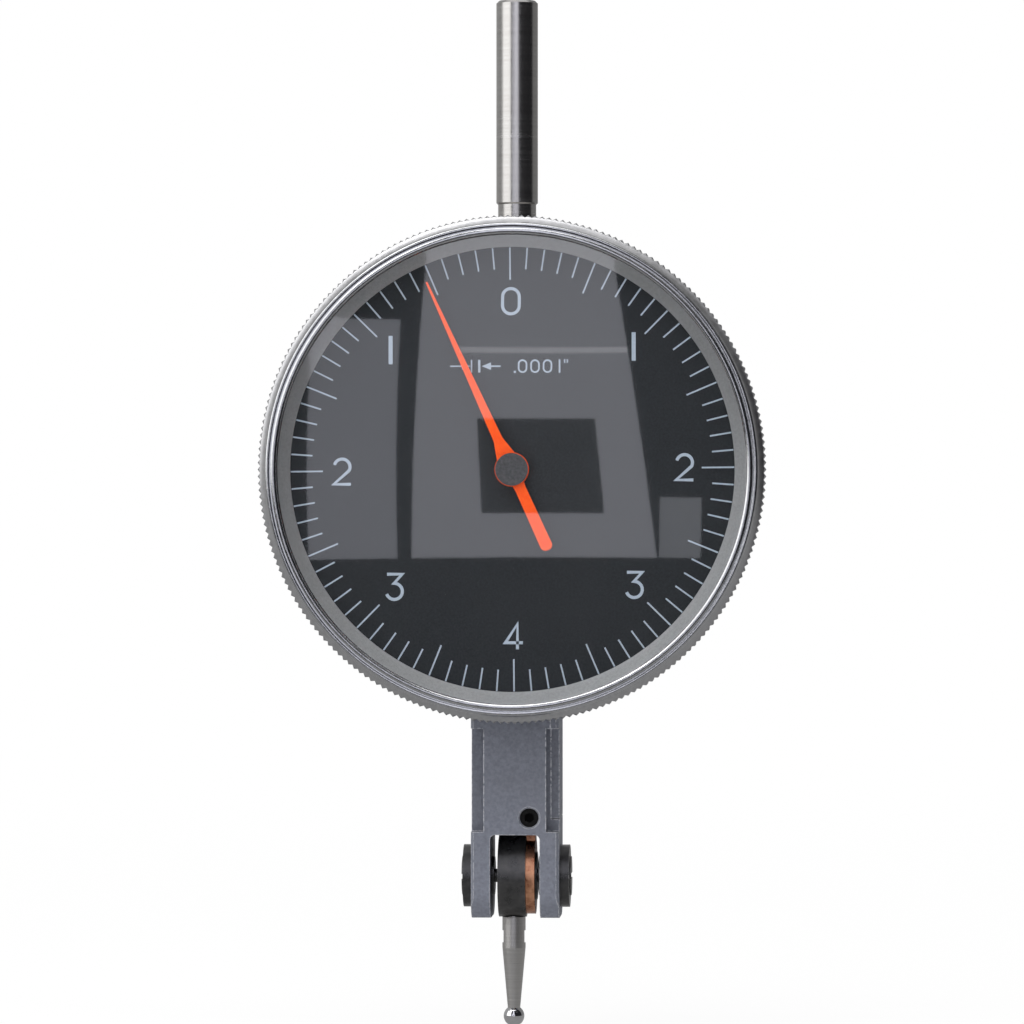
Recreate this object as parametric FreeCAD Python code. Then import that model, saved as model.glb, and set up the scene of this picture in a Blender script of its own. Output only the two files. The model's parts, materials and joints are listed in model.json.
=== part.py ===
import FreeCAD, Part
import math
import os

# Dial test indicator, millimetres. +Z runs up the stem, the dial faces -Y, +X is to the right.
# The origin is halfway up the stem's grip.

V = FreeCAD.Vector
os.makedirs("parts", exist_ok=True)

# ---- layout ---------------------------------------------------------------
dial_drop = 35.35
pivot_drop = 39.0
contact_reach = 13.5
dial_z = -dial_drop
pivot_z = dial_z - pivot_drop
beyond = 1.0

# ---- stem and its dovetail clamp ------------------------------------------
stem_r = 2.0
stem_grip = 19.6
stem_chamfer = 0.25
stem_low_chamfer = 0.15
neck_r = 1.83
spigot_r = 1.4
spigot_low = 20.7
clamp_half = 5.4
clamp_deep = 4.0
clamp_low = 16.1
clamp_high = 23.2
clamp_low_round = 0.4
clamp_top_round = 0.8
clamp_split = -2.75
clamp_gap = 0.12
clamp_screw_z = 19.3
clamp_screw_r = 1.0
clamp_screw_length = 10.3
clamp_bore_gap = 0.1
clamp_head_r = 1.9
clamp_head_t = 1.2
clamp_kerf = 0.27
clamp_kerf_deep = 0.54

# ---- housing --------------------------------------------------------------
body_w = 8.4
body_d = 9.0
body_top = 16.0
edge_break = 0.25
wall = 0.9
left_wall = 1.0
slot_top = 34.85
slot_fillet = 0.45
ear_gap = 4.74
ear_end = 3.9
ear_corner = 2.3
rail_w = 6.0
rail_h = 1.6
rail_angle = 60.0
rail_sink = 0.01
rail_start = 24.7
rail_end = 34.55
back_rail_low = 30.0
back_rail_high = 13.0
top_rail_inset = 0.3
cavity_high = 10.0
cavity_step = 23.9
cavity_low = 31.5
neck_cavity_half = 2.0
channel_half = 1.6
channel_gap = 0.15
window_x0 = -2.6
window_x1 = 2.4
window_z = 6.2

# ---- side cover and stop screw --------------------------------------------
cover_t = 0.8
cover_low = 33.4
cover_high = 14.9
seam = 0.08
cover_screw_r = 0.75
cover_screw_deep = 1.4
cover_screw_sunk = 0.05
cover_screw_up = 12.6
cover_screw_down = 32.45
cover_screw_back = 2.9
cover_kerf = 0.12
cover_kerf_deep = 0.25
stop_x = 1.38
stop_drop = 33.2
stop_r = 0.9
stop_recess = 0.3
stop_end_y = -1.75
stop_hole_y = -1.5
stop_socket_r = 0.5
stop_socket_deep = 0.9
stop_rim = 0.14

# ---- contact pivot --------------------------------------------------------
bearing_r = 1.88
bearing_in = 2.13
bearing_out = 5.25
bearing_web = 0.1
bearing_kerf = 0.25
bearing_kerf_deep = 0.55
nut_r = 3.0
nut_t = 0.9
shaft_r = 0.65
shaft_inset = 0.2
running = 0.04
drum_r = 3.95
drum_x0 = -1.70
drum_x1 = 0.94
lever_r = 3.66
lever_x0 = 0.97
lever_x1 = 1.82
lever_root = 2.5
lever_root_half = 1.3
lever_mid = 9.0
lever_mid_half = 1.15
lever_tip_half = 0.75
lever_tip_round = 0.5
collar_r = 2.3
collar_x1 = 1.97

# ---- stylus ---------------------------------------------------------------
stylus_x = -0.3
shank_r = 1.12
shank_spigot_r = 0.7
shank_spigot_top = 1.7
shank_hole_top = 1.6
flat_across = 1.97
flat_top = 5.25
flat_low = 6.45
taper_top = 6.9
tip_r = 0.6
ball_r = 1.0

# ---- gear train -----------------------------------------------------------
inch = 25.4
travel_per_turn = 0.008 * inch
module = 0.2
sector_teeth = 112
pinion_teeth = 8
crown_teeth = 48
pressure = 20.0
backlash = 0.02
tooth_top = 0.9 * module
tooth_root = 1.25 * module
turn_angle = math.degrees(travel_per_turn / contact_reach)
train_ratio = sector_teeth / pinion_teeth * crown_teeth / pinion_teeth
lever_ratio = 360.0 / turn_angle / train_ratio
pinion_r = module * pinion_teeth / 2
sector_r = module * sector_teeth / 2
crown_r = module * crown_teeth / 2
crown_in = 2.75
crown_y = crown_in - body_d / 2
sector_y = 0.0
mesh_distance = sector_r + pinion_r
sector_z = dial_z - math.sqrt(mesh_distance ** 2 - (crown_y - sector_y) ** 2)
arm_span = sector_z - pivot_z
long_arm = arm_span * lever_ratio / (1 + lever_ratio)
short_arm = arm_span - long_arm
mesh_y = crown_y - crown_r

# ---- arbors and wheels ----------------------------------------------------
arbor_r = 0.3
sector_arbor_r = 0.5
arbor_play = 0.03
arbor_sink = 0.5
arbor_end_gap = 0.05
pin_r = 0.35
pin_proud = 0.1
sector_x0 = -1.75
sector_x1 = -1.25
sector_side_teeth = 4
sector_hub_r = 1.4
sector_waist = 31.5
fork_x0 = 0.2
fork_x1 = 0.7
fork_half = 0.95
fork_waist_half = 0.8
fork_head_half = 0.5
fork_slot_over = 0.55
crown_pinion_over = 0.35
crown_rim_in = 0.4
crown_rim_out = 0.35
crown_back_t = 0.35
crown_hub_r = 1.2
crown_tooth_low_half = 0.2
crown_tooth_tip_half = 0.07
crown_tooth_sink = 0.02
spokes = 4
spoke_half = 18.0
pointer_pinion_half = 0.4

# ---- bridges and hairspring -----------------------------------------------
rear_bridge_t = 0.5
rear_bridge_x0 = -7.2
rear_bridge_x1 = 0.46
rear_bridge_half = 1.3
rear_bridge_tip_half = 0.9
front_bridge_y0 = -7.8
front_bridge_y1 = -7.2
front_bridge_half = 1.3
front_bridge_reach = 8.6
foot_t = 1.2
spring_y0 = -8.3
spring_y1 = -8.1
spring_in = 0.9
spring_out = 3.9
spring_turns = 4
spring_steps = 12
spring_t = 0.1
spring_lip = 0.1
collet_back = 0.15
stud_half = 0.3

# ---- dial case and bezel --------------------------------------------------
bezel_r = 24.0
bezel_back = -5.5
knurl_teeth = 230
knurl_depth = 0.235
knurl_wall = 1.0
shoulder_in = 0.7
shoulder_y = -11.3
shoulder_drop = 0.45
bead_y = -11.5
bead_in = 1.8
bezel_wall = 2.4
bezel_play = 0.08
dial_in = 3.0
cup_wall = 1.0
cup_floor = 0.8
cup_front = -8.2
cup_step = -5.6
cup_flange = 0.8
clips = 3
clip_t = 0.6
clip_half = 1.8
clip_in = 1.1
clip_gap = 0.3
dial_y = -9.2
dial_t = 0.4
dial_hole_r = 0.9
crystal_rim = 0.5
fit_play = 0.02
crystal_y = -10.3
crystal_edge = 0.7
crystal_dome = 1.9
crystal_t = 0.9
valley_r = bezel_r - knurl_depth
band_bore_r = bezel_r - knurl_wall
shoulder_r = bezel_r - shoulder_in
crystal_r = bezel_r - bead_in
dial_seen_r = bezel_r - dial_in
cup_r = bezel_r - bezel_wall
cup_hub_r = cup_r - cup_flange
bezel_bore = cup_r + bezel_play
clip_out_r = bezel_r - clip_in
clip_in_r = cup_hub_r + clip_gap

# ---- pointer --------------------------------------------------------------
pointer_angle = 24.5
pointer_short = 1.55
pointer_tail = 8.35
pointer_tip_half = 0.09
pointer_reach = dial_seen_r - pointer_short
pointer_neck = 3.1
pointer_neck_half = 0.45
pointer_flare = 1.2
pointer_flare_half = 0.95
pointer_tail_start = 2.0
pointer_tail_start_half = 0.52
pointer_tail_half = 0.58
pointer_tail_round = 0.5
pointer_y = -9.75
pointer_t = 0.15
boss_r = 1.62
boss_t = 0.45
hub_r = 1.55
hub_t = 0.4
pointer_arbor_over = 0.35

front_y = -body_d / 2
back_y = body_d / 2
side_x = body_w / 2
inner_x = left_wall - side_x
cover_x = side_x - cover_t
floor_y = front_y - cup_floor


# ---- drawing helpers ------------------------------------------------------
def spot(plane, u, v, w=0.0):
    if plane == "xy":
        return V(u, v, w)
    if plane == "xz":
        return V(u, w, v)
    return V(w, u, v)


def outline(plane, corners, w=0.0):
    """Closed wire through the corners; a third number rounds that corner."""
    starts = []
    middles = []
    ends = []
    count = len(corners)
    for i, corner in enumerate(corners):
        here = V(corner[0], corner[1], 0)
        before = corners[i - 1]
        after = corners[(i + 1) % count]
        if len(corner) < 3:
            starts.append(here)
            middles.append(None)
            ends.append(here)
            continue
        back = (V(before[0], before[1], 0) - here).normalize()
        on = (V(after[0], after[1], 0) - here).normalize()
        half = back.getAngle(on) / 2
        run = corner[2] / math.tan(half)
        centre = here + (back + on).normalize() * (corner[2] / math.sin(half))
        starts.append(here + back * run)
        middles.append(centre + (here - centre).normalize() * corner[2])
        ends.append(here + on * run)
    edges = []
    for i in range(count):
        a = ends[i - 1]
        b = starts[i]
        if a.distanceToPoint(b) > 1e-6:
            edges.append(Part.makeLine(spot(plane, a.x, a.y, w), spot(plane, b.x, b.y, w)))
        if middles[i] is not None:
            three = [spot(plane, p.x, p.y, w) for p in (b, middles[i], ends[i])]
            edges.append(Part.Arc(*three).toShape())
    return Part.Wire(edges)


def slab(plane, corners, w0, w1):
    """A flat shape in the plane, w0 to w1 thick."""
    face = Part.Face(outline(plane, corners, w0))
    return face.extrude(spot(plane, 0, 0, w1 - w0))


def block(x0, x1, y0, y1, z0, z1):
    return Part.makeBox(x1 - x0, y1 - y0, z1 - z0, V(x0, y0, z0))


def along(axis, u, v, w):
    if axis == "x":
        return V(w, u, v)
    if axis == "y":
        return V(u, w, v)
    return V(u, v, w)


def rod(axis, r, w0, w1, u=0.0, v=0.0):
    """A round bar along an axis, from w0 to w1."""
    low = min(w0, w1)
    return Part.makeCylinder(r, abs(w1 - w0), along(axis, u, v, low), along(axis, 0, 0, 1))


def tube(axis, r_out, r_in, w0, w1, u=0.0, v=0.0):
    return rod(axis, r_out, w0, w1, u, v).cut(rod(axis, r_in, w0 - 1, w1 + 1, u, v))


def turned(axis, profile, u=0.0, v=0.0):
    """Lathe work: profile holds (radius, place along the axis[, corner radius])."""
    if axis == "y":
        wire = outline("xy", profile)
    elif axis == "z":
        wire = outline("xz", profile)
    else:
        wire = outline("xy", [(p[1], p[0]) + tuple(p[2:]) for p in profile])
    solid = Part.Face(wire).revolve(V(0, 0, 0), along(axis, 0, 0, 1), 360)
    solid.translate(along(axis, u, v, 0))
    return solid


def join(shapes):
    if len(shapes) == 1:
        return shapes[0]
    return shapes[0].fuse(shapes[1:]).removeSplitter()


def turned_about(shape, axis, u, v, angle):
    out = shape.copy()
    out.rotate(along(axis, u, v, 0), along(axis, 0, 0, 1), angle)
    return out


def spin(shape, axis, u, v, count):
    return [turned_about(shape, axis, u, v, 360.0 * i / count) for i in range(count)]


def polar(r, angle, u=0.0, v=0.0):
    """Point at a radius and an angle in radians, about (u, v)."""
    return (u + r * math.cos(angle), v + r * math.sin(angle))


# ---- gears ----------------------------------------------------------------
def involute(angle):
    return math.tan(angle) - angle


def tooth_sides(teeth):
    """Radii and half angles up one flank of a tooth."""
    pitch = module * teeth / 2
    base = pitch * math.cos(math.radians(pressure))
    middle = math.pi / 2 / teeth - backlash / pitch + involute(math.radians(pressure))
    steps = []
    for r in (pitch - tooth_root, max(base, pitch - tooth_root / 2), pitch, pitch + tooth_top):
        half = middle
        if r > base:
            half = middle - involute(math.acos(base / r))
        steps.append((r, half))
    return steps


def toothed_outline(teeth, first, last, phase):
    """Corner points of teeth first to last about the origin; phase aims tooth 0."""
    points = []
    sides = tooth_sides(teeth)
    for i in range(first, last + 1):
        mid = phase + 2 * math.pi * i / teeth
        points += [polar(r, mid - half) for r, half in sides]
        points += [polar(r, mid + half) for r, half in reversed(sides)]
    return points


def pinion(axis, w0, w1, u, v, bore, phase):
    plane = "yz" if axis == "x" else "xz"
    points = toothed_outline(pinion_teeth, 0, pinion_teeth - 1, phase)
    placed = [(p[0] + u, p[1] + v) for p in points]
    return slab(plane, placed, w0, w1).cut(rod(axis, bore, w0 - beyond, w1 + beyond, u, v))


# ---- housing pieces -------------------------------------------------------
def rail_under():
    """How far each flank of a dovetail rail runs in from top to base."""
    return rail_h / math.tan(math.radians(rail_angle))


def rail_corners(base):
    """Male dovetail section standing on the level base."""
    half = rail_w / 2
    foot = half - rail_under()
    low = base - rail_sink
    return [(-foot, low), (foot, low), (half, base + rail_h), (-half, base + rail_h)]


def housing_outside():
    low = pivot_z - ear_end
    high = dial_z + body_top
    side = [
        (front_y, low, ear_corner),
        (back_y, low, ear_corner),
        (back_y, high),
        (front_y, high),
    ]
    long = side_x - edge_break
    deep = back_y - edge_break
    face = [
        (-side_x, -deep),
        (-long, front_y),
        (long, front_y),
        (side_x, -deep),
        (side_x, deep),
        (long, back_y),
        (-long, back_y),
        (-side_x, deep),
    ]
    body = slab("yz", side, -side_x, side_x).common(slab("xy", face, low, high))
    gap = [
        (-ear_gap / 2, low - beyond),
        (ear_gap / 2, low - beyond),
        (ear_gap / 2, dial_z - slot_top, slot_fillet),
        (-ear_gap / 2, dial_z - slot_top, slot_fillet),
    ]
    return body.cut([slab("xz", gap, front_y - beyond, back_y + beyond)] + front_ledges())


def front_ledges():
    """The two undercut ledges that leave the front dovetail standing."""
    half = rail_w / 2
    level = front_y + rail_h
    cuts = []
    for s in (-1, 1):
        corners = [
            (s * half, front_y),
            (s * (half - rail_under()), level),
            (s * (side_x + beyond), level),
            (s * (side_x + beyond), front_y - beyond),
            (s * half, front_y - beyond),
        ]
        cuts.append(slab("xy", corners, dial_z - rail_end, dial_z - rail_start))
    return cuts


def cover_zone(gap):
    """Room taken by the side cover, less a gap above and below."""
    low = dial_z - cover_low + gap
    high = dial_z + cover_high - gap
    return block(cover_x, side_x + beyond, front_y - beyond, back_y + beyond, low, high)


def cover_screw_spots():
    """Cover screws as (y, z)."""
    return [(0, dial_z + cover_screw_up), (cover_screw_back, dial_z - cover_screw_down)]


def arbor_spots():
    """Arbors that cross the housing, as (radius, y, z)."""
    return [(arbor_r, crown_y, dial_z), (sector_arbor_r, sector_y, sector_z)]


def cavity():
    step = dial_z - cavity_step
    low = dial_z - cavity_low
    bottom = dial_z - slot_top - beyond
    upper = block(inner_x, cover_x, front_y + wall, back_y - wall, step, dial_z + cavity_high)
    lower = block(inner_x, cover_x, -neck_cavity_half, neck_cavity_half, low, step)
    channel = block(lever_x0 - channel_gap, lever_x1 + channel_gap, -channel_half, channel_half, bottom, low)
    window = block(
        window_x0, window_x1, front_y - beyond, front_y + wall, dial_z - window_z, dial_z + window_z
    )
    return upper.fuse([lower, channel, window])


def stop_hole():
    z = dial_z - stop_drop
    profile = [
        (0, front_y - beyond),
        (stop_r + stop_rim + beyond, front_y - beyond),
        (stop_r, front_y + stop_rim),
        (stop_r, stop_hole_y),
        (0, stop_hole_y),
    ]
    return turned("y", profile, stop_x, z)


def housing():
    body = housing_outside()
    back_rail = slab("xy", rail_corners(back_y), dial_z - back_rail_low, dial_z + back_rail_high)
    top_rail = slab("xz", rail_corners(dial_z + body_top), front_y + top_rail_inset, back_y - top_rail_inset)
    body = body.fuse([back_rail, top_rail]).removeSplitter().cut([cavity(), cover_zone(0)])
    holes = [stop_hole()]
    for y, z in cover_screw_spots():
        holes.append(rod("x", cover_screw_r, cover_x - cover_screw_deep, side_x, y, z))
    for s in (-1, 1):
        holes.append(rod("x", bearing_r, s * (ear_gap / 2 - beyond), s * (side_x + beyond), 0, pivot_z))
    for r, y, z in arbor_spots():
        holes.append(rod("x", r + arbor_play, inner_x - arbor_sink, inner_x + beyond, y, z))
    return body.cut(holes)


def side_cover():
    plate = housing_outside().common(cover_zone(seam))
    holes = []
    for y, z in cover_screw_spots():
        holes.append(rod("x", cover_screw_r, cover_x - beyond, side_x + beyond, y, z))
    for r, y, z in arbor_spots():
        holes.append(rod("x", r + arbor_play, cover_x - beyond, cover_x + arbor_sink, y, z))
    return plate.cut(holes)


def cover_screws():
    """Flush headless screws with one slot each."""
    out = []
    top = side_x - cover_screw_sunk
    for y, z in cover_screw_spots():
        body = rod("x", cover_screw_r, cover_x - cover_screw_deep, top, y, z)
        low = top - cover_kerf_deep
        kerf = block(low, top + beyond, y - cover_kerf, y + cover_kerf, z - beyond, z + beyond)
        out.append(body.cut(kerf))
    return out


def stop_screw():
    z = dial_z - stop_drop
    top = front_y + stop_recess
    socket = [polar(stop_socket_r, math.radians(60 * k + 30), stop_x, z) for k in range(6)]
    body = rod("y", stop_r, top, stop_end_y, stop_x, z)
    return body.cut(slab("xz", socket, top - beyond, top + stop_socket_deep))


# ---- stem and its dovetail clamp ------------------------------------------
def clamp_groove():
    return slab("xz", rail_corners(dial_z + body_top), front_y - beyond, back_y + beyond)


def clamp_block():
    floor = dial_z + body_top + rail_h + clamp_gap
    corners = [
        (clamp_split, floor),
        (0, floor),
        (0, dial_z + clamp_low),
        (clamp_half, dial_z + clamp_low, clamp_low_round),
        (clamp_half, dial_z + clamp_high, clamp_top_round),
        (clamp_split, dial_z + clamp_high),
    ]
    body = slab("xz", corners, -clamp_deep, clamp_deep)
    z = dial_z + clamp_screw_z
    holes = [
        clamp_groove(),
        rod("x", clamp_screw_r, clamp_split - beyond, clamp_half + beyond, 0, z),
        rod("z", spigot_r, dial_z + spigot_low, dial_z + clamp_high + beyond),
    ]
    return body.cut(holes)


def clamp_jaw():
    x1 = clamp_split - clamp_gap
    corners = [
        (-clamp_half, dial_z + clamp_low, clamp_low_round),
        (-clamp_gap, dial_z + clamp_low),
        (-clamp_gap, dial_z + body_top + rail_h),
        (x1, dial_z + body_top + rail_h),
        (x1, dial_z + clamp_high),
        (-clamp_half, dial_z + clamp_high, clamp_top_round),
    ]
    body = slab("xz", corners, -clamp_deep, clamp_deep)
    bore_r = clamp_screw_r + clamp_bore_gap
    bore = rod("x", bore_r, -clamp_half - beyond, x1 + beyond, 0, dial_z + clamp_screw_z)
    return body.cut([clamp_groove(), bore])


def clamp_screw():
    """Cheese-head screw through the jaw into the block."""
    z = dial_z + clamp_screw_z
    top = -clamp_half - clamp_head_t
    head = rod("x", clamp_head_r, top, -clamp_half, 0, z)
    shank = rod("x", clamp_screw_r, -clamp_half, clamp_screw_length - clamp_half, 0, z)
    reach = clamp_head_r + beyond
    kerf = block(top - beyond, top + clamp_kerf_deep, -reach, reach, z - clamp_kerf, z + clamp_kerf)
    return join([head, shank]).cut(kerf)


def stem():
    half = stem_grip / 2
    shoulder = dial_z + clamp_high
    profile = [
        (0, half),
        (stem_r - stem_chamfer, half),
        (stem_r, half - stem_chamfer),
        (stem_r, stem_low_chamfer - half),
        (stem_r - stem_low_chamfer, -half),
        (neck_r, -half),
        (neck_r, shoulder),
        (spigot_r, shoulder),
        (spigot_r, dial_z + spigot_low),
        (0, dial_z + spigot_low),
    ]
    return turned("z", profile)


# ---- contact pivot --------------------------------------------------------
def bearing_screws():
    out = []
    for s in (-1, 1):
        screw = rod("x", bearing_r, s * bearing_in, s * bearing_out, 0, pivot_z)
        bore_r = shaft_r + running
        bore = rod("x", bore_r, s * (bearing_in - beyond), s * (side_x - bearing_web), 0, pivot_z)
        ends = sorted([s * (bearing_out - bearing_kerf_deep), s * (bearing_out + beyond)])
        reach = bearing_r + beyond
        kerf = block(ends[0], ends[1], -reach, reach, pivot_z - bearing_kerf, pivot_z + bearing_kerf)
        out.append(screw.cut([bore, kerf]))
    return out


def lock_nuts():
    return [tube("x", nut_r, bearing_r, s * side_x, s * (side_x + nut_t), 0, pivot_z) for s in (-1, 1)]


def pivot_shaft():
    """Straight shaft with the collar that the lever is pushed against."""
    end = side_x - shaft_inset
    collar = rod("x", collar_r, lever_x1, collar_x1, 0, pivot_z)
    return join([rod("x", shaft_r, -end, end, 0, pivot_z), collar])


def contact_holder():
    drum = tube("x", drum_r, shaft_r + running, drum_x0, drum_x1, 0, pivot_z)
    low = pivot_z - drum_r - beyond
    return drum.cut(rod("z", shank_spigot_r, low, pivot_z - shank_hole_top, stylus_x, 0))


def contact_lever():
    disc = rod("x", lever_r, lever_x0, lever_x1, 0, pivot_z)
    pin_z = pivot_z + long_arm
    top = pin_z + lever_tip_half
    right = [
        (lever_root_half, pivot_z + lever_root),
        (lever_mid_half, pivot_z + lever_mid),
        (lever_tip_half, pin_z),
        (lever_tip_half, top, lever_tip_round),
    ]
    left = [(-c[0],) + tuple(c[1:]) for c in reversed(right)]
    body = join([disc, slab("yz", right + left, lever_x0, lever_x1)])
    holes = [
        rod("x", shaft_r, lever_x0 - beyond, lever_x1 + beyond, 0, pivot_z),
        rod("x", pin_r, lever_x0 - beyond, lever_x1 + beyond, 0, pin_z),
    ]
    return body.cut(holes)


def lever_pin():
    return rod("x", pin_r, fork_x0 - pin_proud, lever_x1, 0, pivot_z + long_arm)


def ball_cut():
    """Level where the shank's end meets the ball."""
    return pivot_z - contact_reach + math.sqrt(ball_r ** 2 - tip_r ** 2)


def stylus():
    profile = [
        (0, pivot_z - shank_spigot_top),
        (shank_spigot_r, pivot_z - shank_spigot_top),
        (shank_spigot_r, pivot_z - drum_r),
        (shank_r, pivot_z - drum_r),
        (shank_r, pivot_z - taper_top),
        (tip_r, ball_cut()),
        (0, ball_cut()),
    ]
    shank = turned("z", profile, stylus_x, 0)
    flats = []
    for s in (-1, 1):
        ends = sorted([stylus_x + s * flat_across / 2, stylus_x + s * (flat_across / 2 + beyond)])
        reach = shank_r + beyond
        flats.append(block(ends[0], ends[1], -reach, reach, pivot_z - flat_low, pivot_z - flat_top))
    return shank.cut(flats)


def stylus_ball():
    ball = Part.makeSphere(ball_r, V(stylus_x, 0, pivot_z - contact_reach))
    return ball.cut(rod("z", ball_r + beyond, ball_cut(), pivot_z, stylus_x, 0))


# ---- movement -------------------------------------------------------------
def cross_arbor(r, y, z):
    """Arbor that runs in the housing's left wall and in the side cover."""
    left = inner_x - arbor_sink + arbor_end_gap
    right = cover_x + arbor_sink - arbor_end_gap
    return rod("x", r, left, right, y, z)


def sector_arbor():
    return cross_arbor(sector_arbor_r, sector_y, sector_z)


def sector_aim():
    """Angle in the YZ plane from the sector's arbor to the crown wheel's arbor."""
    return math.atan2(dial_z - sector_z, crown_y - sector_y)


def sector_wheel():
    aim = sector_aim()
    waist = math.radians(sector_waist)
    root_r = sector_r - tooth_root
    spread = 2 * math.pi * (sector_side_teeth + 0.5) / sector_teeth
    points = [polar(sector_hub_r, aim - waist), polar(root_r, aim - spread)]
    points += toothed_outline(sector_teeth, -sector_side_teeth, sector_side_teeth, aim)
    points += [polar(root_r, aim + spread), polar(sector_hub_r, aim + waist)]
    placed = [(p[0] + sector_y, p[1] + sector_z) for p in points]
    hub = rod("x", sector_hub_r, sector_x0, sector_x1, sector_y, sector_z)
    body = join([slab("yz", placed, sector_x0, sector_x1), hub])
    return body.cut(rod("x", sector_arbor_r, sector_x0 - beyond, sector_x1 + beyond, sector_y, sector_z))


def sector_fork():
    pin_z = sector_z - short_arm
    right = [
        (fork_half, pin_z - fork_half),
        (fork_half, pin_z + fork_waist_half),
        (fork_waist_half, sector_z),
        (fork_head_half, sector_z + fork_half),
    ]
    left = [(-c[0], c[1]) for c in reversed(right)]
    placed = [(c[0] + sector_y, c[1]) for c in right + left]
    half = pin_r + arbor_play
    low = pin_z - fork_half - beyond
    slot = block(
        fork_x0 - beyond, fork_x1 + beyond, sector_y - half, sector_y + half, low, pin_z + fork_slot_over
    )
    bore = rod("x", sector_arbor_r, fork_x0 - beyond, fork_x1 + beyond, sector_y, sector_z)
    return slab("yz", placed, fork_x0, fork_x1).cut([slot, bore])


def crown_arbor():
    return cross_arbor(arbor_r, crown_y, dial_z)


def crown_pinion():
    """Its gap faces the sector wheel's middle tooth."""
    aim = sector_aim() + math.pi + math.pi / pinion_teeth
    left = sector_x0 - crown_pinion_over
    right = sector_x1 + crown_pinion_over
    return pinion("x", left, right, crown_y, dial_z, arbor_r, aim)


def crown_wheel():
    """Contrate wheel: straight teeth stand on one face of the rim."""
    tip_x = pinion_r - tooth_top
    root_x = pinion_r + tooth_root
    back_x = root_x + crown_back_t
    inner = crown_r - crown_rim_in
    outer = crown_r + crown_rim_out
    plate = rod("x", outer, root_x, back_x, crown_y, dial_z)
    section = [
        (root_x + crown_tooth_sink, dial_z - crown_tooth_low_half),
        (tip_x, dial_z - crown_tooth_tip_half),
        (tip_x, dial_z + crown_tooth_tip_half),
        (root_x + crown_tooth_sink, dial_z + crown_tooth_low_half),
    ]
    tooth = slab("xz", section, crown_y - outer + crown_tooth_sink, crown_y - inner)
    body = plate.fuse(spin(tooth, "x", crown_y, dial_z, crown_teeth)).removeSplitter()
    tools = [rod("x", arbor_r, root_x - beyond, back_x + beyond, crown_y, dial_z)]
    rim_r = inner - crown_rim_in
    for k in range(spokes):
        low = math.radians(360.0 / spokes * k + spoke_half)
        high = math.radians(360.0 / spokes * (k + 1) - spoke_half)
        turns = [(crown_hub_r, low), (rim_r, low), (rim_r, (low + high) / 2)]
        turns += [(rim_r, high), (crown_hub_r, high)]
        corners = [polar(r, angle, crown_y, dial_z) for r, angle in turns]
        tools.append(slab("yz", corners, root_x - beyond, back_x + beyond))
    return body.cut(tools)


def pointer_arbor():
    return rod("y", arbor_r, floor_y - arbor_end_gap, pointer_y - pointer_arbor_over, 0, dial_z)


def pointer_pinion():
    """Its gap faces the crown wheel's tooth that is in mesh."""
    front = mesh_y - pointer_pinion_half
    back = mesh_y + pointer_pinion_half
    return pinion("y", front, back, 0, dial_z, arbor_r, math.pi / pinion_teeth)


def rear_bridge():
    """Rear bearing of the pointer's arbor, seated on the case floor beside the window."""
    corners = [
        (rear_bridge_x0, dial_z - rear_bridge_half),
        (rear_bridge_x1, dial_z - rear_bridge_tip_half),
        (rear_bridge_x1, dial_z + rear_bridge_tip_half),
        (rear_bridge_x0, dial_z + rear_bridge_half),
    ]
    plate = slab("xz", corners, floor_y - rear_bridge_t, floor_y)
    bore_y = floor_y - rear_bridge_t - beyond
    return plate.cut(rod("y", arbor_r + arbor_play, bore_y, floor_y + beyond, 0, dial_z))


def front_bridge():
    """Front bearing: a bar with a foot at each end that stands on the case floor."""
    reach = front_bridge_reach
    corners = [
        (front_bridge_y0, dial_z - reach),
        (floor_y, dial_z - reach),
        (floor_y, dial_z - reach + foot_t),
        (front_bridge_y1, dial_z - reach + foot_t),
        (front_bridge_y1, dial_z + reach - foot_t),
        (floor_y, dial_z + reach - foot_t),
        (floor_y, dial_z + reach),
        (front_bridge_y0, dial_z + reach),
    ]
    bar = slab("yz", corners, -front_bridge_half, front_bridge_half)
    y0 = front_bridge_y0 - beyond
    return bar.cut(rod("y", arbor_r + arbor_play, y0, front_bridge_y1 + beyond, 0, dial_z))


def hairspring():
    """Flat spiral strip from the collet out to the stud."""
    inside = []
    outside = []
    count = spring_turns * spring_steps
    for i in range(count + 1):
        angle = math.pi / 2 + 2 * math.pi * i / spring_steps
        r = spring_in + (spring_out - spring_in) * i / count
        inside.append(polar(r, angle, 0, dial_z))
        outside.append(polar(r + spring_t, angle, 0, dial_z))
    return slab("xz", inside + outside[::-1], spring_y0, spring_y1)


def hairspring_stud():
    z = dial_z + spring_out + spring_t
    return block(-stud_half, stud_half, spring_y0 - spring_lip, front_bridge_y0, z, z + 2 * stud_half)


def hairspring_collet():
    corners = [polar(spring_in, math.radians(60 * k + 30), 0, dial_z) for k in range(6)]
    ring = slab("xz", corners, spring_y0 - spring_lip, spring_y1 + collet_back)
    return ring.cut(rod("y", arbor_r, spring_y0 - beyond, spring_y1 + beyond, 0, dial_z))


# ---- pointer --------------------------------------------------------------
def pointer():
    front = pointer_y - pointer_t / 2
    back = pointer_y + pointer_t / 2
    right = [
        (pointer_tip_half, pointer_reach),
        (pointer_neck_half, pointer_neck),
        (pointer_flare_half, pointer_flare),
        (pointer_tail_start_half, -pointer_tail_start),
        (pointer_tail_half, -pointer_tail, pointer_tail_round),
    ]
    left = [(-c[0],) + tuple(c[1:]) for c in reversed(right)]
    placed = [(c[0], c[1] + dial_z) + tuple(c[2:]) for c in right + left]
    body = join([slab("xz", placed, front, back), rod("y", boss_r, front, front + boss_t, 0, dial_z)])
    body = body.cut(rod("y", arbor_r, front - beyond, back + beyond, 0, dial_z))
    return turned_about(body, "y", 0, dial_z, -pointer_angle)


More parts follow.
